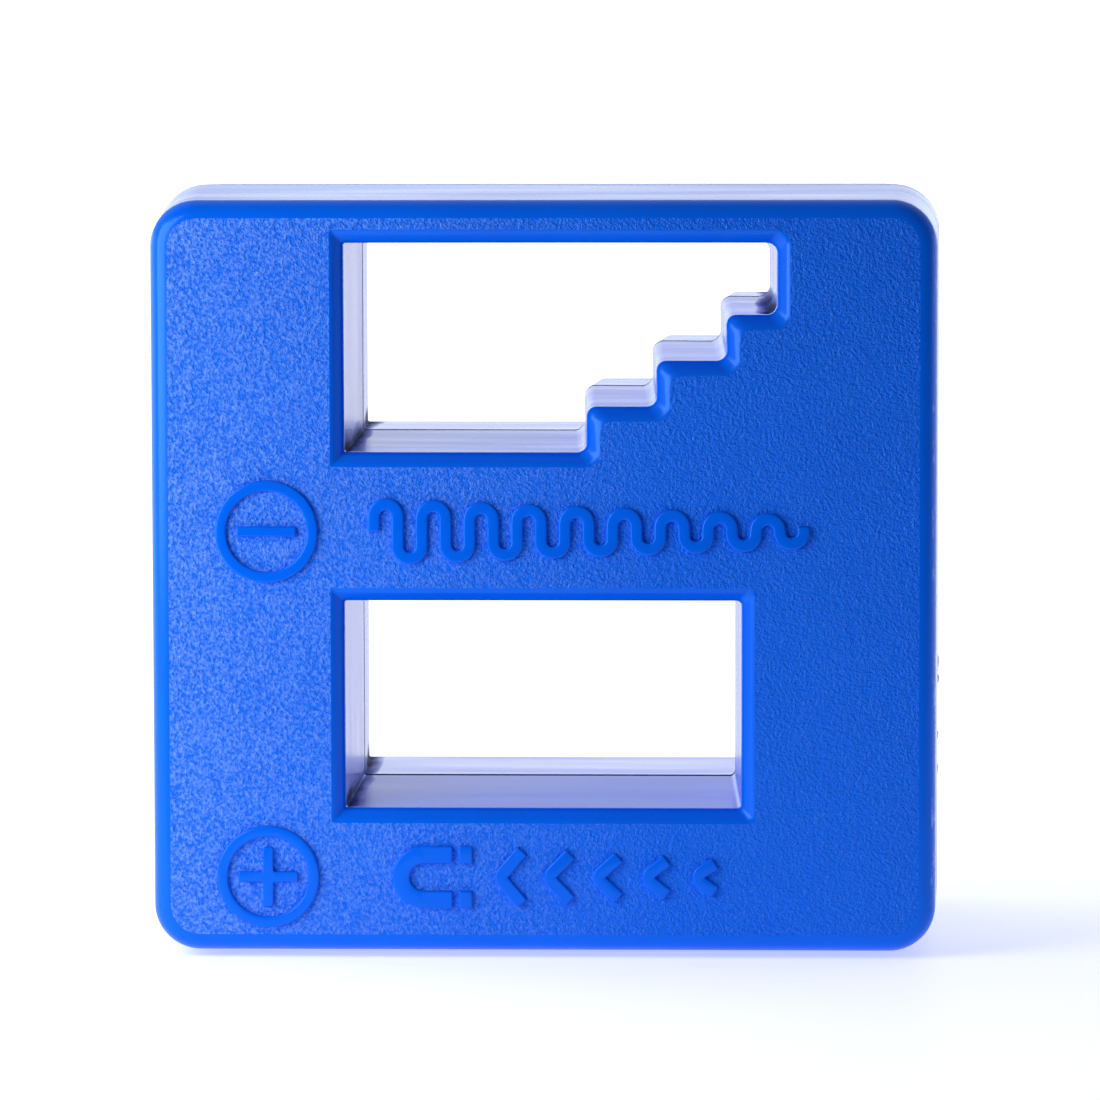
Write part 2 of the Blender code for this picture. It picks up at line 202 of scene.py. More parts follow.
def flat_face(mesh, corners, depth):
    """A face through (x, z) corners, facing the front, this far in front of the seam."""
    face = mesh.faces.new([mesh.verts.new((x, -depth, z)) for x, z in corners])
    face.normal_update()
    return face


def with_border(face):
    """A face with its edges and corners. Given all three, an extrusion leaves no face behind."""
    return [face, *face.edges, *face.verts]


def only_face(geometry):
    return next(item for item in geometry if isinstance(item, bmesh.types.BMFace))


def push(mesh, face, move):
    """Extrudes a face by a move and gives back its far end."""
    far = only_face(bmesh.ops.extrude_face_region(mesh, geom=with_border(face))["geom"])
    bmesh.ops.translate(mesh, verts=far.verts, vec=move)
    return far


def forward(distance):
    return Vector((0.0, -distance, 0.0))


def grow(mesh, face, distance, ahead):
    """Insets a face, outwards where distance is positive, and moves it towards the front."""
    bmesh.ops.inset_region(mesh, faces=[face], thickness=-distance, use_even_offset=True, use_boundary=True)
    bmesh.ops.translate(mesh, verts=face.verts, vec=forward(ahead))


def round_edges(mesh, edges, radius, segments):
    bmesh.ops.bevel(
        mesh,
        geom=edges,
        offset=radius,
        offset_type="OFFSET",
        affect="EDGES",
        segments=segments,
        profile=0.5,
        material=-1,
        clamp_overlap=True,
    )


def to_object(name, mesh):
    bmesh.ops.recalc_face_normals(mesh, faces=mesh.faces)
    data = bpy.data.meshes.new(name)
    mesh.to_mesh(data)
    mesh.free()
    made = bpy.data.objects.new(name, data)
    bpy.context.scene.collection.objects.link(made)
    return made


def combine(target, tools, operation):
    """Adds or cuts helpers one after the other, applies the result and removes the helpers."""
    for tool in tools:
        modifier = target.modifiers.new(tool.name, "BOOLEAN")
        modifier.operation = operation
        modifier.object = tool
    apply_modifiers(target)
    for tool in tools:
        bpy.data.objects.remove(tool)


def apply_modifiers(target):
    evaluated = target.evaluated_get(bpy.context.evaluated_depsgraph_get())
    target.data = bpy.data.meshes.new_from_object(evaluated)
    target.modifiers.clear()


def prism(name, corners, shallow, deep):
    mesh = bmesh.new()
    push(mesh, flat_face(mesh, corners, shallow), forward(deep - shallow))
    return to_object(name, mesh)


def rectangle(left, bottom, right, top):
    return [(left, bottom), (right, bottom), (right, top), (left, top)]


# %% [markdown]
# ## The block
#
# One shell starts as the outline at the seam, pushed to the face. The far end is scaled a little smaller:
# that is the draft, the lean that lets a moulding slide out of its steel. Then the four long corners are
# rounded, and last the edge round the face, so that its small radius runs round the big ones.

# %% Make the outside of a shell, and the hollows like it
CORNER_SEGMENTS = 14
SEAM_SEGMENTS = 2
EDGE_SEGMENTS = 8
NEAR = 0.001 * MM


def outline_at(mesh, depth):
    """The edges of a mesh that lie in the plane this far in front of the seam."""
    return [edge for edge in mesh.edges if all(abs(vert.co.y + depth) < NEAR for vert in edge.verts)]


def edges_in_depth(mesh):
    """The edges that run from one depth to another, which are a shape's long corners."""
    return [edge for edge in mesh.edges if abs(edge.verts[0].co.y - edge.verts[1].co.y) > NEAR]


def block(name, inset, shallow, deep, lean=0.0, rounded=False):
    """The block's outline moved inwards by the inset, as a solid between two depths."""
    mesh = bmesh.new()
    half = WIDTH / 2 - inset
    rim = flat_face(mesh, rectangle(-half, inset, half, HEIGHT - inset), shallow)
    face = push(mesh, rim, forward(deep - shallow))
    smaller = (1.0 - lean / half, 1.0, 1.0 - lean / (HEIGHT / 2 - inset))
    middle = Matrix.Translation((0.0, 0.0, -HEIGHT / 2))
    bmesh.ops.scale(mesh, vec=smaller, space=middle, verts=face.verts)
    round_edges(mesh, edges_in_depth(mesh), CORNER_RADIUS - inset, CORNER_SEGMENTS)
    if rounded:
        round_edges(mesh, outline_at(mesh, deep), EDGE_ROUND, EDGE_SEGMENTS)
        round_edges(mesh, outline_at(mesh, shallow), SEAM_EASE, SEAM_SEGMENTS)
    return to_object(name, mesh)


# %% [markdown]
# ## The openings
#
# Each opening is cut by a plug of the same shape, as the steel core of the mould is. From the seam the plug
# widens by the draft up to the rim, turns in small steps to the 45 degrees of the chamfer, and then turns
# again until it is almost flat, so that both edges of the chamfer are soft. Its long corners have three
# radii: the left ones are nearly sharp, the right ones of the lower opening are small, and the corners of the
# steps are clearly round.

# %% Make the plug of an opening
FLARE = 1.2 * MM
CHAMFER_SLOPE = math.radians(45)
FLARE_SLOPE = math.radians(85)
SOFT_EDGE = 0.3 * MM  # how far a soft edge reaches along the surfaces on both sides of it
SOFT_SEGMENTS = 5
CORNER_PLUG_SEGMENTS = 5


def lower_corners(inside=0.0):
    return rectangle(LEFT + inside, LOWER_BOTTOM + inside, LOWER_RIGHT - inside, LOWER_TOP - inside)


def upper_corners(inside=0.0, top=UPPER_TOP):
    x = FIRST_RISER - inside
    z = UPPER_BOTTOM + inside
    corners = [(LEFT + inside, z)]
    for step in range(STEPS):
        corners.append((x, z))
        z += STEP_RISE
        corners.append((x, z))
        x += STEP_RUN
    right = x - STEP_RUN + LAST_RUN
    return corners + [(right, z), (right, top - inside), (LEFT + inside, top - inside)]


def soft_turn(start, end):
    """Steps (outwards, ahead) round an arc from one slope to another."""
    turn = (end - start) / SOFT_SEGMENTS
    length = SOFT_EDGE / math.tan((end - start) / 2) * 2 * math.sin(turn / 2)
    slopes = [start + (index + 0.5) * turn for index in range(SOFT_SEGMENTS)]
    return [(length * math.sin(slope), length * math.cos(slope)) for slope in slopes]


def rim_steps():
    straight = CHAMFER / math.cos(CHAMFER_SLOPE) - 2 * SOFT_EDGE
    chamfer = (straight * math.sin(CHAMFER_SLOPE), straight * math.cos(CHAMFER_SLOPE))
    flare = (FLARE * math.sin(FLARE_SLOPE), FLARE * math.cos(FLARE_SLOPE))
    return [*soft_turn(0.0, CHAMFER_SLOPE), chamfer, *soft_turn(CHAMFER_SLOPE, FLARE_SLOPE), flare]


def plug(name, corners, right_radius):
    mesh = bmesh.new()
    face = flat_face(mesh, corners(OPENING_DRAFT - OPENING_EASE), 0.0)
    ease_depth = HALF_GAP + OPENING_EASE
    grow(mesh, face, -OPENING_EASE, ease_depth)
    grow(mesh, face, OPENING_DRAFT, FACE_DEPTH - CHAMFER - SOFT_EDGE - ease_depth)
    for outwards, ahead in rim_steps():
        grow(mesh, face, outwards, ahead)
    push(mesh, face, forward(FLARE))
    bmesh.ops.holes_fill(mesh, edges=outline_at(mesh, 0.0))
    long_corners = edges_in_depth(mesh)
    left = [edge for edge in long_corners if edge.verts[0].co.x < LEFT / 2]
    right = [edge for edge in long_corners if edge.verts[0].co.x > LEFT / 2]
    round_edges(mesh, left, SHARP_CORNER, CORNER_PLUG_SEGMENTS)
    round_edges(mesh, right, right_radius, CORNER_PLUG_SEGMENTS)
    return to_object(name, mesh)


# %% [markdown]
# ## What a shell holds inside
#
# A moulding is hollow with a wall of even thickness, or it would sink in as it cools. So the block is
# hollowed out, and walls are put back round the openings, with four corner posts and with ribs that hold each
# magnet. The magnets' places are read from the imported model.

# %% Make the walls, posts and ribs of a shell
OVERSHOOT = 1.0 * MM
GAP = 0.3 * MM
ROOT_DEPTH = FACE_DEPTH - WALL / 2
POST_RADIUS = 2.2 * MM
POST_INSET = 5.8 * MM
POST_HEIGHTS = (17.0 * MM, 40.0 * MM)
RIB_DEPTH = 2.9 * MM
RIB_THICKNESS = 1.2 * MM
ROD_SEGMENTS = 24
TOP_OF_WALL = HEIGHT - 1.5 * WALL  # the bar above the upper opening is too thin to hollow out
MAGNETS = ("base_magnet", "bridge_magnet")


def opening_wall(name, corners):
    mesh = bmesh.new()
    face = flat_face(mesh, corners, HALF_GAP)
    grow(mesh, face, WALL, 0.0)
    bmesh.ops.delete(mesh, geom=[other for other in mesh.faces if other != face], context="FACES")
    push(mesh, face, forward(ROOT_DEPTH - HALF_GAP))
    return to_object(name, mesh)


def rod(name, x, z, radius, shallow, deep):
    mesh = bmesh.new()
    bmesh.ops.create_circle(mesh, cap_ends=True, segments=ROD_SEGMENTS, radius=radius)
    bmesh.ops.rotate(mesh, verts=mesh.verts, matrix=Matrix.Rotation(math.pi / 2, 3, "X"))
    bmesh.ops.translate(mesh, verts=mesh.verts, vec=(x, -shallow, z))
    push(mesh, next(iter(mesh.faces)), forward(deep - shallow))
    return to_object(name, mesh)


def post_rods(name, radius, shallow, deep):
    """Four rods where the corner posts are."""
    centres = [(side * (WIDTH / 2 - POST_INSET), z) for side in (-1, 1) for z in POST_HEIGHTS]
    return [rod(f"{name}_{index}", x, z, radius, shallow, deep) for index, (x, z) in enumerate(centres)]


def rib_lefts(low, high):
    """Left sides of the two ribs behind a magnet and of the two that stop its ends."""
    quarter = (high.x - low.x) / 4
    behind = [low.x + quarter - RIB_THICKNESS / 2, high.x - quarter - RIB_THICKNESS / 2]
    return behind + [low.x - GAP - RIB_THICKNESS, high.x + GAP]


def rib_span(magnet, left):
    """How high a rib reaches, into the wall under it and the wall over it."""
    if magnet == "base_magnet":
        return DRAFT + WALL / 2, LOWER_BOTTOM - WALL / 2
    climbed = sum(1 for step in range(STEPS) if FIRST_RISER + step * STEP_RUN + WALL < left)
    return LOWER_TOP + WALL / 2, UPPER_BOTTOM + climbed * STEP_RISE - WALL / 2


def ribs():
    made = []
    for magnet in MAGNETS:
        for left in rib_lefts(*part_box(magnet)):
            bottom, top = rib_span(magnet, left)
            outline = rectangle(left, bottom, left + RIB_THICKNESS, top)
            made.append(prism(f"{magnet}_rib_{len(made)}", outline, RIB_DEPTH, ROOT_DEPTH))
    return made


def pockets():
    """The room of each magnet, a clearance bigger than the magnet all round."""
    made = []
    for magnet in MAGNETS:
        low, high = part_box(magnet)
        room = rectangle(low.x - GAP, low.z - GAP, high.x + GAP, high.z + GAP)
        made.append(prism(f"{magnet}_pocket", room, -OVERSHOOT, high.y + GAP))
    return made


def hollow_shell(name):
    """What the two shells have in common."""
    shell = block(name, 0.0, HALF_GAP, FACE_DEPTH, DRAFT, rounded=True)
    combine(shell, [block("hollow", WALL, -OVERSHOOT, FACE_DEPTH - WALL, DRAFT)], "DIFFERENCE")
    walls = [
        opening_wall("lower_wall", lower_corners()),
        opening_wall("upper_wall", upper_corners(top=TOP_OF_WALL)),
    ]
    combine(shell, walls + post_rods("post", POST_RADIUS, HALF_GAP, ROOT_DEPTH) + ribs(), "UNION")
    combine(shell, pockets(), "DIFFERENCE")
    plugs = [plug("lower_plug", lower_corners, ROUND_CORNER), plug("upper_plug", upper_corners, STEP_CORNER)]
    combine(shell, plugs, "DIFFERENCE")
    return shell


# %% [markdown]
# ## The raised symbols
#
# The front says by symbols what each opening does. By the stepped one are a ringed minus and a wave that
# dies away. By the plain one are a ringed plus and a horseshoe magnet that pulls a row of arrows. Each is a
# line of even width, so it is drawn as with a flat pen: a small upright face is pushed along where the line
# is straight, and spun where it bends. The pen starts inside the face, so that the line grows out of the
# block.

# %% Draw raised lines with a flat pen
RELIEF = 0.3 * MM
RELIEF_ROOT = 0.4 * MM
SHOULDER = 0.13 * MM  # the round of a line's upper edges
TOP_DEPTH = FACE_DEPTH + RELIEF
BEND_SEGMENTS = 12
RING_SEGMENTS = 72
END_SEGMENTS = 3
SHOULDER_SEGMENTS = 4
SHARP = math.radians(60)


def pen_face(mesh, start, heading, width):
    """The pen's upright face, across the line. The heading is an angle from +X towards +Z."""
    across = Vector((-math.sin(heading), 0.0, math.cos(heading))) * width / 2
    middle = Vector((start[0], 0.0, start[1]))
    corners = []
    root_depth = FACE_DEPTH - RELIEF_ROOT
    for side, depth in ((-1, root_depth), (1, root_depth), (1, TOP_DEPTH), (-1, TOP_DEPTH)):
        corners.append(mesh.verts.new(middle + across * side + Vector((0.0, -depth, 0.0))))
    return mesh.faces.new(corners)


def draw_line(mesh, start, heading, width, path):
    """Follows a path of ("ahead", length) and ("bend", radius, angle). A positive angle turns left."""
    face = pen_face(mesh, start, heading, width)
    here = Vector((start[0], 0.0, start[1]))
    for move, size, *turn in path:
        ahead = Vector((math.cos(heading), 0.0, math.sin(heading)))
        if move == "ahead":
            face = push(mesh, face, ahead * size)
            here += ahead * size
            continue
        angle = turn[0]
        to_centre = Vector((-ahead.z, 0.0, ahead.x)) * math.copysign(size, angle)
        centre = here + to_centre
        bent = bmesh.ops.spin(
            mesh, geom=with_border(face), cent=centre, axis=(0, -1, 0), angle=angle, steps=BEND_SEGMENTS
        )
        face = only_face(bent["geom_last"])
        heading += angle
        here = centre - Matrix.Rotation(angle, 3, (0, -1, 0)) @ to_centre


def round_shoulders(mesh):
    """Rounds the upright corners at a line's ends, then every edge round its top."""
    bmesh.ops.recalc_face_normals(mesh, faces=mesh.faces)
    upright = [edge for edge in edges_in_depth(mesh) if edge.calc_face_angle(0.0) > SHARP]
    round_edges(mesh, upright, SHOULDER, END_SEGMENTS)
    tops = [edge for edge in outline_at(mesh, TOP_DEPTH) if edge.calc_face_angle(0.0) > SHARP]
    round_edges(mesh, tops, SHOULDER, SHOULDER_SEGMENTS)


def line_piece(name, lines):
    """One helper for each set of lines. A line is (start, heading, width, path)."""
    mesh = bmesh.new()
    for line in lines:
        draw_line(mesh, *line)
    round_shoulders(mesh)
    return to_object(name, mesh)


# %% [markdown]
# The wave is the line that dies away: straight up and down with half-round bends at a constant pitch, while
# the straight parts get shorter. The horseshoe is one line with a half-round back, and its two pole tips are
# short lines of their own. Each arrow is a line with a tight bend at its point.

# %% Make the symbols
UPPER_ROW = 28.05 * MM
LOWER_ROW = 5.425 * MM
RING_X = -18.0 * MM
RING_RADIUS = 3.35 * MM
RING_WIDTH = 0.72 * MM
BAR_LENGTH = 3.9 * MM
BAR_WIDTH = 0.68 * MM
WAVE_START = LEFT + 1.95 * MM
WAVE_WIDTH = 0.8 * MM
WAVE_LOOPS = 18
WAVE_PITCH = 1.55 * MM
WAVE_HEIGHT = 1.8 * MM  # of the first bend above the middle; the last is a half circle
WAVE_TAIL = 0.35 * MM
HORSESHOE_LEFT = LEFT + 3.05 * MM
HORSESHOE_HEIGHT = 4.1 * MM
HORSESHOE_ARM = 1.9 * MM
HORSESHOE_WIDTH = 1.15 * MM
POLE_GAP = 0.4 * MM
POLE_LENGTH = 0.9 * MM
ARROWS = 5
ARROW_GAP = 1.75 * MM
ARROW_PITCH = 3.15 * MM
ARROW_REACH = 1.5 * MM
ARROW_WIDTH = 0.85 * MM
ARROW_HEIGHTS = (1.75 * MM, 0.95 * MM)
ARROW_BEND = 0.55  # radius of an arrow's point as a share of its line's width


def ring(name, z):
    mesh = bmesh.new()
    pen = pen_face(mesh, (RING_X + RING_RADIUS - RING_WIDTH / 2, z), math.pi / 2, RING_WIDTH)
    bmesh.ops.delete(mesh, geom=[pen], context="FACES_ONLY")
    bmesh.ops.spin(
        mesh,
        geom=mesh.verts[:] + mesh.edges[:],
        cent=(RING_X, 0.0, z),
        axis=(0, 1, 0),
        angle=math.tau,
        steps=RING_SEGMENTS,
        use_merge=True,
    )
    round_shoulders(mesh)
    return to_object(name, mesh)


def minus(name, z):
    start = (RING_X - BAR_LENGTH / 2, z)
    return line_piece(name, [(start, 0.0, BAR_WIDTH, [("ahead", BAR_LENGTH)])])


def plus(name, z):
    """A square block with its four sides pushed out."""
    half = BAR_WIDTH / 2
    mesh = bmesh.new()
    square = rectangle(RING_X - half, z - half, RING_X + half, z + half)
    push(mesh, flat_face(mesh, square, FACE_DEPTH - RELIEF_ROOT), forward(RELIEF_ROOT + RELIEF))
    bmesh.ops.recalc_face_normals(mesh, faces=mesh.faces)
    for side in [face for face in mesh.faces if abs(face.normal.y) < 0.5]:
        push(mesh, side, side.normal * (BAR_LENGTH / 2 - half))
    round_shoulders(mesh)
    return to_object(name, mesh)


def wave(name, z):
    radius = WAVE_PITCH / 2
    heights = [WAVE_HEIGHT + (radius - WAVE_HEIGHT) * loop / (WAVE_LOOPS - 1) for loop in range(WAVE_LOOPS)]
    path = []
    for loop, height in enumerate(heights):
        straight = height - radius
        arc = ("bend", radius, math.pi if loop % 2 else -math.pi)
        path += [("ahead", straight), arc, ("ahead", straight)] if straight > NEAR else [arc]
    path.append(("ahead", WAVE_TAIL))
    return line_piece(name, [((WAVE_START, z), math.pi / 2, WAVE_WIDTH, path)])


def horseshoe(name, z):
    radius = (HORSESHOE_HEIGHT - HORSESHOE_WIDTH) / 2
    arm_end = HORSESHOE_LEFT + HORSESHOE_HEIGHT / 2 + HORSESHOE_ARM
    body = [("ahead", HORSESHOE_ARM), ("bend", radius, math.pi), ("ahead", HORSESHOE_ARM)]
    lines = [((arm_end, z + radius), math.pi, HORSESHOE_WIDTH, body)]
    for side in (-1, 1):
        pole = (arm_end + POLE_GAP, z + side * radius)
        lines.append((pole, 0.0, HORSESHOE_WIDTH, [("ahead", POLE_LENGTH)]))
    return line_piece(name, lines)


def arrows(name, z):
    """Arrow heads that point at the magnet and get smaller away from it."""
    poles_end = HORSESHOE_LEFT + HORSESHOE_HEIGHT / 2 + HORSESHOE_ARM + POLE_GAP + POLE_LENGTH
    bend_radius = ARROW_BEND * ARROW_WIDTH
    lines = []
    for index in range(ARROWS):
        height = ARROW_HEIGHTS[0] + (ARROW_HEIGHTS[1] - ARROW_HEIGHTS[0]) * index / (ARROWS - 1)
        tip = poles_end + ARROW_GAP + index * ARROW_PITCH
        slope = math.atan2(height, ARROW_REACH)
        turn = math.pi - 2 * slope
        arm = math.hypot(height, ARROW_REACH) - bend_radius * math.tan(turn / 2)
        path = [("ahead", arm), ("bend", bend_radius, turn), ("ahead", arm)]
        lines.append(((tip + ARROW_REACH, z + height), math.pi + slope, ARROW_WIDTH, path))
    return line_piece(name, lines)


def symbols():
    return [
        ring("minus_ring", UPPER_ROW),
        minus("minus", UPPER_ROW),
        wave("wave", UPPER_ROW),
        ring("plus_ring", LOWER_ROW),
        plus("plus", LOWER_ROW),
        horseshoe("horseshoe", LOWER_ROW),
        arrows("arrows", LOWER_ROW),
    ]


print("rows of symbols at", round(UPPER_ROW / MM, 2), "and", round(LOWER_ROW / MM, 2), "mm")

# %% [markdown]
# ## The lap joint
#
# The shells meet in a lap joint all round the outside. The rear one has a lip and four pins, and the front
# one has the groove and the sockets that they enter, each a clearance wider. None of it shows once they are
# glued, but a bench would find it on taking the block apart.

# %% Make the two shells
LIP_OUTER = 1.05 * MM
LIP_INNER = 1.7 * MM
LIP_LENGTH = 1.3 * MM
GROOVE_DEPTH = 2.6 * MM
PIN_RADIUS = 1.0 * MM
PIN_LENGTH = 3.0 * MM


def joint_ring(name, outer, inner, shallow, deep):
    made = block(name, outer, shallow, deep)
    combine(made, [block("core", inner, shallow - OVERSHOOT, deep + OVERSHOOT)], "DIFFERENCE")
    return made


def front_shell():
    shell = hollow_shell("front_shell_fine")
    groove = joint_ring("groove", LIP_OUTER - GAP, LIP_INNER + GAP, -OVERSHOOT, GROOVE_DEPTH)
    sockets = post_rods("socket", PIN_RADIUS + GAP, -OVERSHOOT, PIN_LENGTH + GAP)
    combine(shell, [groove] + sockets, "DIFFERENCE")
    combine(shell, symbols(), "UNION")
    return shell


def rear_shell():
    shell = hollow_shell("rear_shell_fine")
    lip = joint_ring("lip", LIP_OUTER, LIP_INNER, -LIP_LENGTH, OVERSHOOT)
    combine(shell, [lip] + post_rods("pin", PIN_RADIUS, -PIN_LENGTH, OVERSHOOT), "UNION")
    mesh = bmesh.new()
    mesh.from_mesh(shell.data)
    bmesh.ops.scale(mesh, vec=(1.0, -1.0, 1.0), verts=mesh.verts)
    bmesh.ops.reverse_faces(mesh, faces=mesh.faces)
    mesh.to_mesh(shell.data)
    mesh.free()
    return shell


front = front_shell()
rear = rear_shell()
for shell in (front, rear):
    print(shell.name, len(shell.data.vertices), "points", len(shell.data.polygons), "faces")

# %% [markdown]
# ## Finishes of the blue plastic
#
# The shells are ABS, a glossy thermoplastic, with a royal blue pigment all through. One mould gives two
# surfaces. Where its steel was polished, on the edges, the rims, the walls of the openings and the raised
# symbols, the plastic is smooth and turns pale where the light glances off it. Where the steel was spark
# eroded, on the flat of each face, the plastic copies its craters, and the eye sees a fine grain that
# glitters towards the light.
#
# Two marks lie on the polished surface, and each is a share from 0 to 1 that mixes in a colour. Painted shade,
# a near black that is also dull, darkens the seam of the openings and patches at their inner corners. Pale
# scuffs lie along the right edges, where the block was knocked.

# %% Finishes: polished ABS
ABS_BLUE = "#0064EE"
ABS_BLUE_DEEP = "#005CE0"
ABS_SHADER = {"IOR": 1.53, "Specular Tint": linear("#7CBAFF")}
PIGMENT_CLOUD = 7.0  # mm across the soft clouds of a pigment that never mixes quite evenly
DRAG_LINE = 2.4  # mm between the lines that the polisher left across the steel
DRAG_STRETCH = 0.12  # a line's width as a share of its length
DRAG_DEPTH = 0.002 * MM
DRAG_LEVELS = (0.3, 0.7)  # of the noise, from the smoothest line to the roughest
POLISH = (0.2, 0.26)  # roughness at those two
SCUFF = "#9DB4F2"
SCUFF_MARK = 0.6  # mm
SCUFF_STRETCH = 0.4  # a mark's width as a share of its height
SCUFF_LEVELS = (0.56, 0.68)  # of the noise, where a mark starts and where it is palest
SCUFF_STRENGTH = 0.6
SCUFF_SIDE = (25.0 * MM, 25.25 * MM)  # the marks come in between these, towards the right side
SCUFF_DEPTH = (12.5 * MM, 12.9 * MM)  # and between these, towards a face
# painted shade: a near black navy for the seam and the inner corners of the openings, where shade falls
PAINTED_SHADE = "#141C34"
SHADED_CORNERS = ((LEFT, LOWER_BOTTOM), (LEFT, UPPER_BOTTOM), (15.0 * MM, 42.1 * MM))
SHADE_REACH = 1.8 * MM
SHADE_STRETCH = 0.25  # a patch's width as a share of its length along the depth
SHADE_PATCH = 1.6  # mm
SHADE_LEVELS = (0.16, 0.42)  # of the noise, where a patch starts and where it is solid
SHADE_DULLNESS = 0.5  # what the solid painted shade adds to the roughness
SHADE_DEPTHS = (12.3 * MM, 13.0 * MM)  # it fades out between these, before the chamfer
SEAM_SHADE = (0.3 * MM, 0.42 * MM)  # and the painted shade in the seam of the openings fades out between these
INSIDE = (22.5 * MM, 23.5 * MM)  # from the block's middle: openings are nearer, outer sides further


def pigment(tree, place):
    spread = {"Vector": place, "Scale": per_mm(PIGMENT_CLOUD), "Detail": 2.0}
    clouds = add(tree, "ShaderNodeTexNoise", spread)
    blues = {0: clouds.outputs["Fac"], 6: linear(ABS_BLUE_DEEP), 7: linear(ABS_BLUE)}
    return add(tree, "ShaderNodeMix", blues, data_type="RGBA").outputs[2]


def painted_shade_share(tree, place):
    """Near 1 where shade is painted: in the seam of the openings and in patches at their inner corners, and 0
    elsewhere.
    """
    flattened = {0: place, 1: (1.0, 0.0, 1.0)}
    across = add(tree, "ShaderNodeVectorMath", flattened, operation="MULTIPLY").outputs[0]
    nearness = 0.0
    for x, z in SHADED_CORNERS:
        distance = add(tree, "ShaderNodeVectorMath", {0: across, 1: (x, 0.0, z)}, operation="DISTANCE")
        near = {"Value": distance.outputs["Value"], "From Max": SHADE_REACH, "To Min": 1.0, "To Max": 0.0}
        share = add(tree, "ShaderNodeMapRange", near).outputs[0]
        nearness = add(tree, "ShaderNodeMath", {0: nearness, 1: share}, operation="MAXIMUM").outputs[0]
    y = add(tree, "ShaderNodeSeparateXYZ", {0: place}).outputs["Y"]
    depth = add(tree, "ShaderNodeMath", {0: y}, operation="ABSOLUTE").outputs[0]
    downwards = {"To Min": 1.0, "To Max": 0.0}
    fade = {"Value": depth, "From Min": SHADE_DEPTHS[0], "From Max": SHADE_DEPTHS[1], **downwards}
    behind_rim = add(tree, "ShaderNodeMapRange", fade).outputs[0]
    kept = add(tree, "ShaderNodeMath", {0: nearness, 1: behind_rim}, operation="MULTIPLY").outputs[0]
    patch_stretch = {"Vector": place, "Scale": (1.0, SHADE_STRETCH, 1.0)}
    along = add(tree, "ShaderNodeMapping", patch_stretch).outputs[0]
    spread = {"Vector": along, "Scale": per_mm(SHADE_PATCH), "Detail": 3.0}
    patches = add(tree, "ShaderNodeTexNoise", spread).outputs["Fac"]
    both = add(tree, "ShaderNodeMath", {0: kept, 1: patches}, operation="MULTIPLY").outputs[0]
    levels = {"Value": both, "From Min": SHADE_LEVELS[0], "From Max": SHADE_LEVELS[1]}
    corners = add(tree, "ShaderNodeMapRange", levels).outputs[0]
    line = {"Value": depth, "From Min": SEAM_SHADE[0], "From Max": SEAM_SHADE[1], **downwards}
    seam = add(tree, "ShaderNodeMapRange", line).outputs[0]
    outwards = {0: place, 1: (0.0, 0.0, HEIGHT / 2)}
    from_middle = add(tree, "ShaderNodeVectorMath", outwards, operation="SUBTRACT").outputs[0]
    reach = add(tree, "ShaderNodeVectorMath", {0: from_middle}, operation="ABSOLUTE").outputs[0]
    reaches = add(tree, "ShaderNodeSeparateXYZ", {0: reach}).outputs
    widest = add(tree, "ShaderNodeMath", {0: reaches["X"], 1: reaches["Z"]}, operation="MAXIMUM").outputs[0]
    within = {"Value": widest, "From Min": INSIDE[0], "From Max": INSIDE[1], **downwards}
    inner = add(tree, "ShaderNodeMapRange", within).outputs[0]
    seam = add(tree, "ShaderNodeMath", {0: seam, 1: inner}, operation="MULTIPLY").outputs[0]
    return add(tree, "ShaderNodeMath", {0: corners, 1: seam}, operation="MAXIMUM").outputs[0]


def scuff_share(tree, place):
    """Near 1 in short marks along the right edge, where the block was knocked."""
    axes = add(tree, "ShaderNodeSeparateXYZ", {0: place}).outputs
    depth = add(tree, "ShaderNodeMath", {0: axes["Y"]}, operation="ABSOLUTE").outputs[0]
    side = {"Value": axes["X"], "From Min": SCUFF_SIDE[0], "From Max": SCUFF_SIDE[1]}
    end = {"Value": depth, "From Min": SCUFF_DEPTH[0], "From Max": SCUFF_DEPTH[1]}
    at_side = add(tree, "ShaderNodeMapRange", side).outputs[0]
    at_end = add(tree, "ShaderNodeMapRange", end).outputs[0]
    edge = add(tree, "ShaderNodeMath", {0: at_side, 1: at_end}, operation="MULTIPLY").outputs[0]
    upright = {"Vector": place, "Scale": (1.0, 1.0, SCUFF_STRETCH)}
    drawn_out = add(tree, "ShaderNodeMapping", upright).outputs[0]
    spread = {"Vector": drawn_out, "Scale": per_mm(SCUFF_MARK), "Detail": 3.0}
    marks = add(tree, "ShaderNodeTexNoise", spread)
    both = add(tree, "ShaderNodeMath", {0: marks.outputs["Fac"], 1: edge}, operation="MULTIPLY").outputs[0]
    levels = {"From Min": SCUFF_LEVELS[0], "From Max": SCUFF_LEVELS[1], "To Max": SCUFF_STRENGTH}
    return add(tree, "ShaderNodeMapRange", {"Value": both, **levels}).outputs[0]


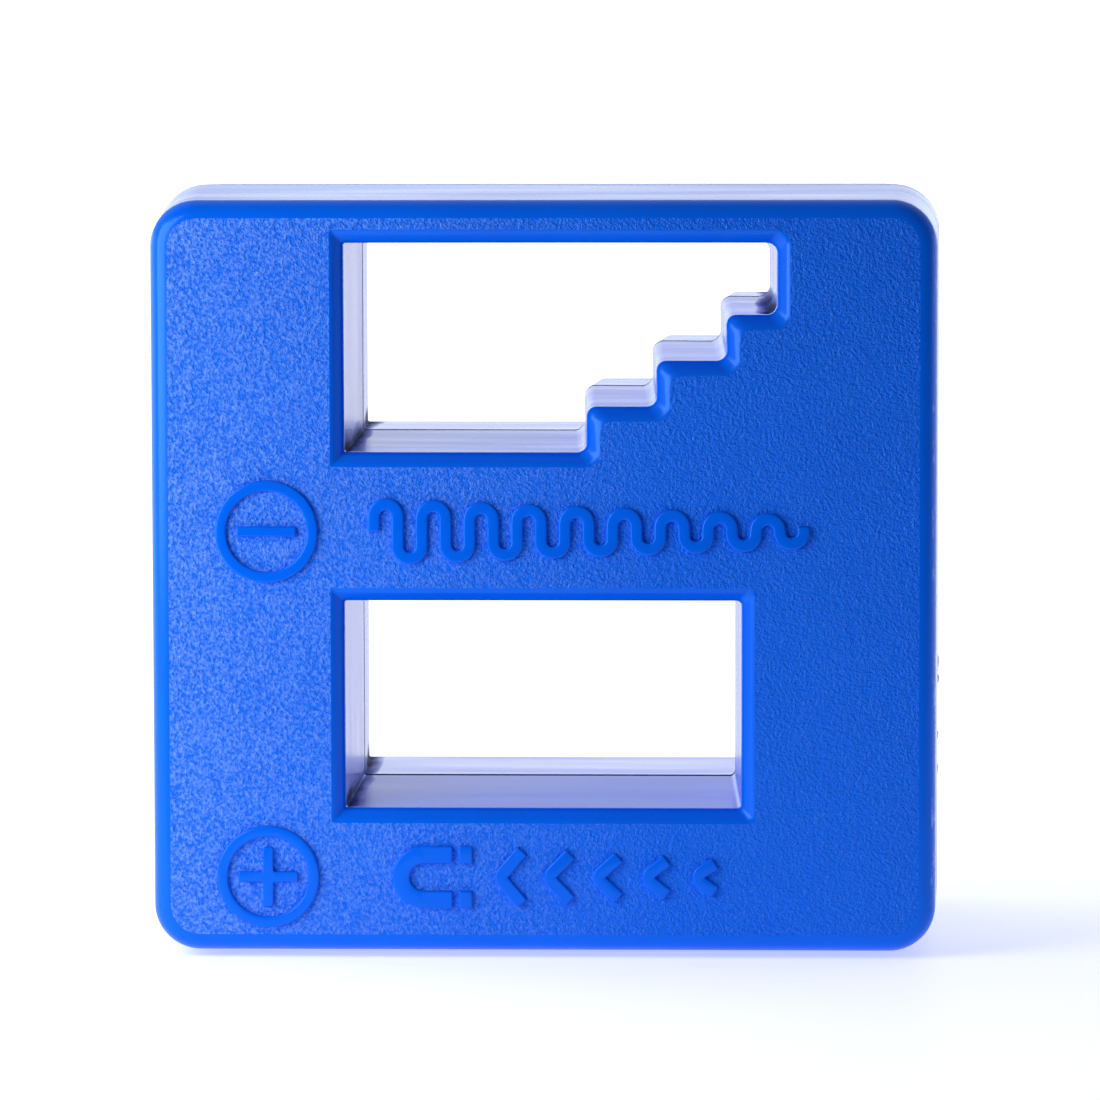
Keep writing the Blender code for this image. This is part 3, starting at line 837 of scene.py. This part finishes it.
def polished_abs():
    made, tree, shader, place = new_finish("polished_abs", ABS_SHADER)
    painted_shade = painted_shade_share(tree, place)
    blues = {0: scuff_share(tree, place), 6: pigment(tree, place), 7: linear(SCUFF)}
    scuffed = add(tree, "ShaderNodeMix", blues, data_type="RGBA").outputs[2]
    # painted shade: the near black is mixed in by that share
    with_shade = {0: painted_shade, 6: scuffed, 7: linear(PAINTED_SHADE)}
    colour = add(tree, "ShaderNodeMix", with_shade, data_type="RGBA").outputs[2]
    tree.links.new(colour, shader.inputs["Base Color"])
    stretched = {"Vector": place, "Scale": (DRAG_STRETCH, 1.0, DRAG_STRETCH)}
    along = add(tree, "ShaderNodeMapping", stretched).outputs[0]
    spread = {"Vector": along, "Scale": per_mm(DRAG_LINE), "Detail": 1.0}
    lines = add(tree, "ShaderNodeTexNoise", spread).outputs["Fac"]
    levels = {"From Min": DRAG_LEVELS[0], "From Max": DRAG_LEVELS[1]}
    gloss = {"To Min": POLISH[0], "To Max": POLISH[1]}
    polish = add(tree, "ShaderNodeMapRange", {"Value": lines, **levels, **gloss}).outputs[0]
    dulled = {0: painted_shade, 1: SHADE_DULLNESS, 2: polish}
    rough = add(tree, "ShaderNodeMath", dulled, operation="MULTIPLY_ADD").outputs[0]
    tree.links.new(rough, shader.inputs["Roughness"])
    ripple = add(tree, "ShaderNodeBump", {"Height": lines, "Distance": DRAG_DEPTH})
    tree.links.new(ripple.outputs[0], shader.inputs["Normal"])
    return made


polished = polished_abs()
print(polished.name, "has", len(polished.node_tree.nodes), "nodes")

# %% [markdown]
# The eroded face gets its grain from two noises, a coarse one of overlapping craters and a finer one inside
# them. Both drive a bump, because such craters are far too shallow to model. Spark-eroded grain is often
# finer than 0.1 mm, too fine to show, so the noises are drawn a little coarser and the bump deeper than that.
# The peaks between the craters are painted a paler blue as painted glints, most of all on the left, towards
# the soft box.

# %% Finishes: spark-eroded ABS
CRATER = 0.21  # mm
FINE_CRATER = 0.11  # mm
FINE_SHARE = 0.35  # how deep the fine craters are beside the coarse ones
GRAIN_DEPTH = 0.16 * MM
GLINT_LEVELS = (0.38, 0.86)  # of the noise, where a peak starts to take the painted glint and where it is palest
SHINE_LEVELS = (0.35, 0.65)  # of the noise, from the floor of a crater to a peak
GRAIN_ROUGHNESS = (0.34, 0.12)  # at those two
# painted glints: a pale blue on the peaks of the grain, standing in for glitter towards the soft box on the
# left
PAINTED_GLINT = "#86AEFF"
GLINT_SIDES = (-25.0 * MM, 8.0 * MM)
GLINT_SHARES = (0.85, 0.08)  # how pale the peaks are at those two sides


def eroded_abs():
    made, tree, shader, place = new_finish("spark_eroded_abs", ABS_SHADER)
    craters = {"Vector": place, "Scale": per_mm(CRATER), "Detail": 2.0, "Roughness": 0.6}
    coarse = add(tree, "ShaderNodeTexNoise", craters).outputs["Fac"]
    small_craters = {"Vector": place, "Scale": per_mm(FINE_CRATER), "Detail": 1.0}
    fine = add(tree, "ShaderNodeTexNoise", small_craters).outputs["Fac"]
    x = add(tree, "ShaderNodeSeparateXYZ", {0: place}).outputs["X"]
    sides = {"From Min": GLINT_SIDES[0], "From Max": GLINT_SIDES[1]}
    shares = {"To Min": GLINT_SHARES[0], "To Max": GLINT_SHARES[1]}
    # painted glints: the share of pale blue on the peaks, largest on the left, towards the soft box
    glint_by_side = add(tree, "ShaderNodeMapRange", {"Value": x, **sides, **shares}).outputs[0]
    high = {"Value": coarse, "From Min": GLINT_LEVELS[0], "From Max": GLINT_LEVELS[1], "To Max": glint_by_side}
    glinting_peaks = add(tree, "ShaderNodeMapRange", high)
    blues = {0: glinting_peaks.outputs[0], 6: pigment(tree, place), 7: linear(PAINTED_GLINT)}
    colour = add(tree, "ShaderNodeMix", blues, data_type="RGBA").outputs[2]
    tree.links.new(colour, shader.inputs["Base Color"])
    heights = {0: fine, 1: FINE_SHARE, 2: coarse}
    height = add(tree, "ShaderNodeMath", heights, operation="MULTIPLY_ADD").outputs[0]
    grain = add(tree, "ShaderNodeBump", {"Height": height, "Distance": GRAIN_DEPTH})
    tree.links.new(grain.outputs[0], shader.inputs["Normal"])
    levels = {"From Min": SHINE_LEVELS[0], "From Max": SHINE_LEVELS[1]}
    shine = {"To Min": GRAIN_ROUGHNESS[0], "To Max": GRAIN_ROUGHNESS[1]}
    rough = add(tree, "ShaderNodeMapRange", {"Value": coarse, **levels, **shine}).outputs[0]
    tree.links.new(rough, shader.inputs["Roughness"])
    return made


eroded = eroded_abs()
print(eroded.name, "has", len(eroded.node_tree.nodes), "nodes")

# %% [markdown]
# ## Putting the finishes on the shells
#
# The face is flat, so its normal tells where the grain goes. An edge is left hard where the surface turns
# by more than a round's segment does, and also where one finish meets the other, so that the grain starts
# crisply. Weighted normals then keep the big flat areas flat beside their small rounds.

# %% Finish the shells
HARD_ANGLE = math.radians(35)
FLAT = 0.9999  # how straight a normal points along Y on the flat of a face


def finish_shell(shell, node, finishes):
    shell.data.materials.clear()
    for finish in finishes:
        shell.data.materials.append(finish)
    mesh = bmesh.new()
    mesh.from_mesh(shell.data)
    for face in mesh.faces:
        depth = abs(face.calc_center_median().y)
        face.material_index = int(abs(face.normal.y) > FLAT and abs(depth - FACE_DEPTH) < NEAR)
        face.smooth = True
    for edge in mesh.edges:
        one, other = edge.link_faces
        edge.smooth = edge.calc_face_angle() < HARD_ANGLE and one.material_index == other.material_index
    mesh.to_mesh(shell.data)
    mesh.free()
    weighted = shell.modifiers.new("weighted", "WEIGHTED_NORMAL")
    weighted.keep_sharp = True
    apply_modifiers(shell)
    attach(shell, "root")
    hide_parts(node)


finish_shell(front, "front_shell", [polished, eroded])
finish_shell(rear, "rear_shell", [polished, eroded])
for shell in (front, rear):
    grained = sum(face.area for face in shell.data.polygons if face.material_index == 1)
    print(shell.name, "has", round(grained / MM**2), "square mm of grain")

# %% [markdown]
# ## What is sealed inside
#
# Two ferrite magnets do the work. Ferrite is a fired ceramic: near black, dull, with a fine sandy grain.
# Each is held by a dab of hot-melt adhesive, milky and waxy, and the shells are closed with a solvent cement
# that cures to a whitish bead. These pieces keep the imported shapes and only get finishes.

# %% Finishes: ferrite, hot melt and cement


def speckled(name, hex_dark, hex_light, speck, depth, shader_inputs):
    """A finish whose colour and height follow one noise, as on a sintered or a set material."""
    made, tree, shader, place = new_finish(name, shader_inputs)
    spread = {"Vector": place, "Scale": per_mm(speck), "Detail": 5.0}
    specks = add(tree, "ShaderNodeTexNoise", spread).outputs["Fac"]
    shades = {0: specks, 6: linear(hex_dark), 7: linear(hex_light)}
    colour = add(tree, "ShaderNodeMix", shades, data_type="RGBA").outputs[2]
    tree.links.new(colour, shader.inputs["Base Color"])
    relief = add(tree, "ShaderNodeBump", {"Height": specks, "Distance": depth})
    tree.links.new(relief.outputs[0], shader.inputs["Normal"])
    return made


fired = {"Roughness": 0.62, "IOR": 2.4}
waxy = {"Roughness": 0.38, "IOR": 1.49}
glassy = {"Roughness": 0.3, "IOR": 1.5}
ferrite = speckled("sintered_ferrite", "#18181A", "#3C3C40", 0.25, 0.03 * MM, fired)
hot_melt = speckled("hot_melt_adhesive", "#D8CFAE", "#EFE8D0", 2.0, 0.05 * MM, waxy)
cement = speckled("cured_cement", "#DCE4F6", "#FCFDFF", 0.5, 0.06 * MM, glassy)
inside = {
    "base_magnet": ferrite,
    "bridge_magnet": ferrite,
    "base_magnet_glue": hot_melt,
    "bridge_magnet_glue": hot_melt,
    "seam_adhesive": cement,
}
for node, finish in inside.items():
    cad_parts[node].material_slots[0].material = finish
print("finished inside:", ", ".join(inside))

# %% [markdown]
# ## Squeezed-out cement
#
# Where there was a little too much cement it came out of the seam on the right and dried as pale crumbs.
# Each is a small ball, drawn out along the seam and made uneven.

# %% Add the crumbs of cement
CRUMBS = (  # height on the right side, then length along the seam, both in mm
    (18.0, 1.5),
    (16.9, 0.8),
    (13.1, 0.7),
    (10.8, 0.9),
)
CRUMB_THICKNESS = 0.3 * MM
CRUMB_SPREAD = 0.3  # what a crumb gains in depth, as a share of its length
CRUMB_OFFSET = 0.1  # how far inside the block's side its middle lies, as a share of its thickness
UNEVEN = (0.65, 1.25)


def crumb(mesh, z, length, chance):
    """One uneven ball with its middle in the seam, so that half of it stands out."""
    made = bmesh.ops.create_icosphere(mesh, subdivisions=2, radius=0.5)["verts"]
    for vert in made:
        vert.co *= chance.uniform(*UNEVEN)
    bmesh.ops.smooth_vert(mesh, verts=made, factor=0.4, use_axis_x=True, use_axis_y=True, use_axis_z=True)
    across = CRUMB_SPREAD * length + CRUMB_THICKNESS
    bmesh.ops.scale(mesh, verts=made, vec=(CRUMB_THICKNESS, across, length))
    bmesh.ops.translate(mesh, verts=made, vec=(WIDTH / 2 - CRUMB_OFFSET * CRUMB_THICKNESS, 0.0, z))


def add_crumbs():
    mesh = bmesh.new()
    chance = random.Random(7)
    for z, length in CRUMBS:
        crumb(mesh, z * MM, length * MM, chance)
    for face in mesh.faces:
        face.smooth = True
    crumbs = to_object("seam_adhesive_crumbs", mesh)
    crumbs.data.materials.append(cement)
    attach(crumbs, "root")
    return crumbs


crumbs = add_crumbs()
print("crumbs:", len(CRUMBS), "with", len(crumbs.data.polygons), "faces")

# %% [markdown]
# ## The table
#
# Small products are often set on a sheet of white acrylic that is lit from below. Here no lamp is under it, and
# the sheet glows by itself as painted light. The glow is brighter behind the block than in front of it, which
# also washes out the soft box's shadow there, and it lifts the undersides. The sheet ends a little way in front
# of the block, so that it meets the white of the room.

# %% Make the table
TABLE_SIZE = 2.0
TABLE_FRONT = 0.07  # how far it reaches in front of the block's middle
TABLE_GLOW = (0.48, 0.95)  # in front of the block, and from GLOW_DEPTHS[1] on behind it
GLOW_DEPTHS = (-0.01, 0.08)
TABLE_CLEARANCE = 0.02 * MM
TABLE_CLOUD = 60.0  # mm across the faint clouds of a cast sheet
TABLE_ROUGHNESS = (0.46, 0.54)


def table():
    lit = {"Emission Color": linear("#FFFFFF"), "IOR": 1.49, "Specular IOR Level": 0.12}
    made, tree, shader, place = new_finish("lit_acrylic", lit)
    y = add(tree, "ShaderNodeSeparateXYZ", {0: place}).outputs["Y"]
    depths = {"From Min": GLOW_DEPTHS[0], "From Max": GLOW_DEPTHS[1]}
    strengths = {"To Min": TABLE_GLOW[0], "To Max": TABLE_GLOW[1]}
    glow = add(tree, "ShaderNodeMapRange", {"Value": y, **depths, **strengths}).outputs[0]
    # painted light: the sheet's own glow, weaker in front of the block and brighter behind, over the soft box's
    # shadow
    tree.links.new(glow, shader.inputs["Emission Strength"])
    spread = {"Vector": place, "Scale": per_mm(TABLE_CLOUD), "Detail": 1.0}
    cloud = add(tree, "ShaderNodeTexNoise", spread).outputs["Fac"]
    whites = {0: cloud, 6: linear("#F2F3F8"), 7: linear("#FBFBFE")}
    white = add(tree, "ShaderNodeMix", whites, data_type="RGBA").outputs[2]
    tree.links.new(white, shader.inputs["Base Color"])
    satin = {"Value": cloud, "To Min": TABLE_ROUGHNESS[0], "To Max": TABLE_ROUGHNESS[1]}
    tree.links.new(add(tree, "ShaderNodeMapRange", satin).outputs[0], shader.inputs["Roughness"])
    mesh = bmesh.new()
    bmesh.ops.create_grid(mesh, x_segments=1, y_segments=1, size=TABLE_SIZE)
    centre = (0.0, TABLE_SIZE - TABLE_FRONT, cad_low.z - TABLE_CLEARANCE)
    bmesh.ops.translate(mesh, verts=mesh.verts, vec=centre)
    sheet = to_object("table", mesh)
    sheet.data.materials.append(made)
    return sheet


sheet = table()
print("the sheet covers", round(sheet.data.polygons[0].area), "square metres")

# %% [markdown]
# ## Light
#
# The room is a tent of cool white nylon. It is bright low down behind the block, which is what the walls of
# the openings and the top mirror at a flat angle. It is dimmer on the camera's side, with a dark gap where
# the camera looks in, so that the front keeps its deep blue. One soft box close by on the left draws the
# light edge on that side and the glitter in the grain. The tent is a world whose brightness depends on the
# direction, and the camera itself sees plain white.

# %% Light the block
TENT_GAP = 0.08  # brightness where the camera looks in
TENT_FRONT = 0.2  # round that gap
TENT_BACK = 2.0  # low down behind the block
TENT_ABOVE = 0.66  # higher up behind it
GAP_EDGE = (-0.95, -0.6)  # Y of the direction, from the middle of the gap to the tent round it
SIDE_EDGE = (-0.3, 0.3)  # Y of the direction, from the front half to the back half
ABOVE_EDGE = (0.15, 0.21)  # Z of the direction, from low down to higher up
TENT_WHITE = "#E8F0FF"  # a nylon tent in daylight is a cool white


def tent():
    world = bpy.data.worlds.new("tent")
    world.use_nodes = True
    tree = world.node_tree
    tree.nodes.clear()
    direction = add(tree, "ShaderNodeTexCoord").outputs["Generated"]
    axes = add(tree, "ShaderNodeSeparateXYZ", {0: direction}).outputs
    above = {"Value": axes["Z"], "From Min": ABOVE_EDGE[0], "From Max": ABOVE_EDGE[1]}
    above |= {"To Min": TENT_BACK, "To Max": TENT_ABOVE}
    behind = add(tree, "ShaderNodeMapRange", above, interpolation_type="SMOOTHSTEP").outputs[0]
    gap = {"Value": axes["Y"], "From Min": GAP_EDGE[0], "From Max": GAP_EDGE[1]}
    gap |= {"To Min": TENT_GAP, "To Max": TENT_FRONT}
    ahead = add(tree, "ShaderNodeMapRange", gap, interpolation_type="SMOOTHSTEP").outputs[0]
    halves = {"Value": axes["Y"], "From Min": SIDE_EDGE[0], "From Max": SIDE_EDGE[1]}
    halves |= {"To Min": ahead, "To Max": behind}
    light = add(tree, "ShaderNodeMapRange", halves, interpolation_type="SMOOTHSTEP").outputs[0]
    seen = add(tree, "ShaderNodeLightPath").outputs["Is Camera Ray"]
    strength = add(tree, "ShaderNodeMath", {0: light, 1: seen}, operation="MAXIMUM").outputs[0]
    whites = {0: seen, 6: linear(TENT_WHITE), 7: linear("#FFFFFF")}
    white = add(tree, "ShaderNodeMix", whites, data_type="RGBA").outputs[2]
    background = add(tree, "ShaderNodeBackground", {"Color": white, "Strength": strength})
    add(tree, "ShaderNodeOutputWorld", {"Surface": background.outputs[0]})
    bpy.context.scene.world = world


def soft_box(name, place, width, height, brightness):
    """An oblong light that looks at the block. Its brightness is that of its own front, where white is 1."""
    lamp = bpy.data.lights.new(name, "AREA")
    lamp.shape = "RECTANGLE"
    lamp.size = width
    lamp.size_y = height
    lamp.energy = brightness * math.pi * width * height
    box = bpy.data.objects.new(name, lamp)
    middle = (cad_low + cad_high) / 2
    box.location = middle + Vector(place)
    box.rotation_euler = Vector(place).to_track_quat("Z", "Y").to_euler()
    box.visible_camera = False
    bpy.context.scene.collection.objects.link(box)
    return box


tent()
left_box = soft_box("left_soft_box", place=(-0.085, -0.075, 0.03), width=0.08, height=0.08, brightness=5.8)
print(left_box.name, "at", [round(value / MM) for value in left_box.location], "mm")
bpy.context.scene.view_settings.view_transform = "Standard"
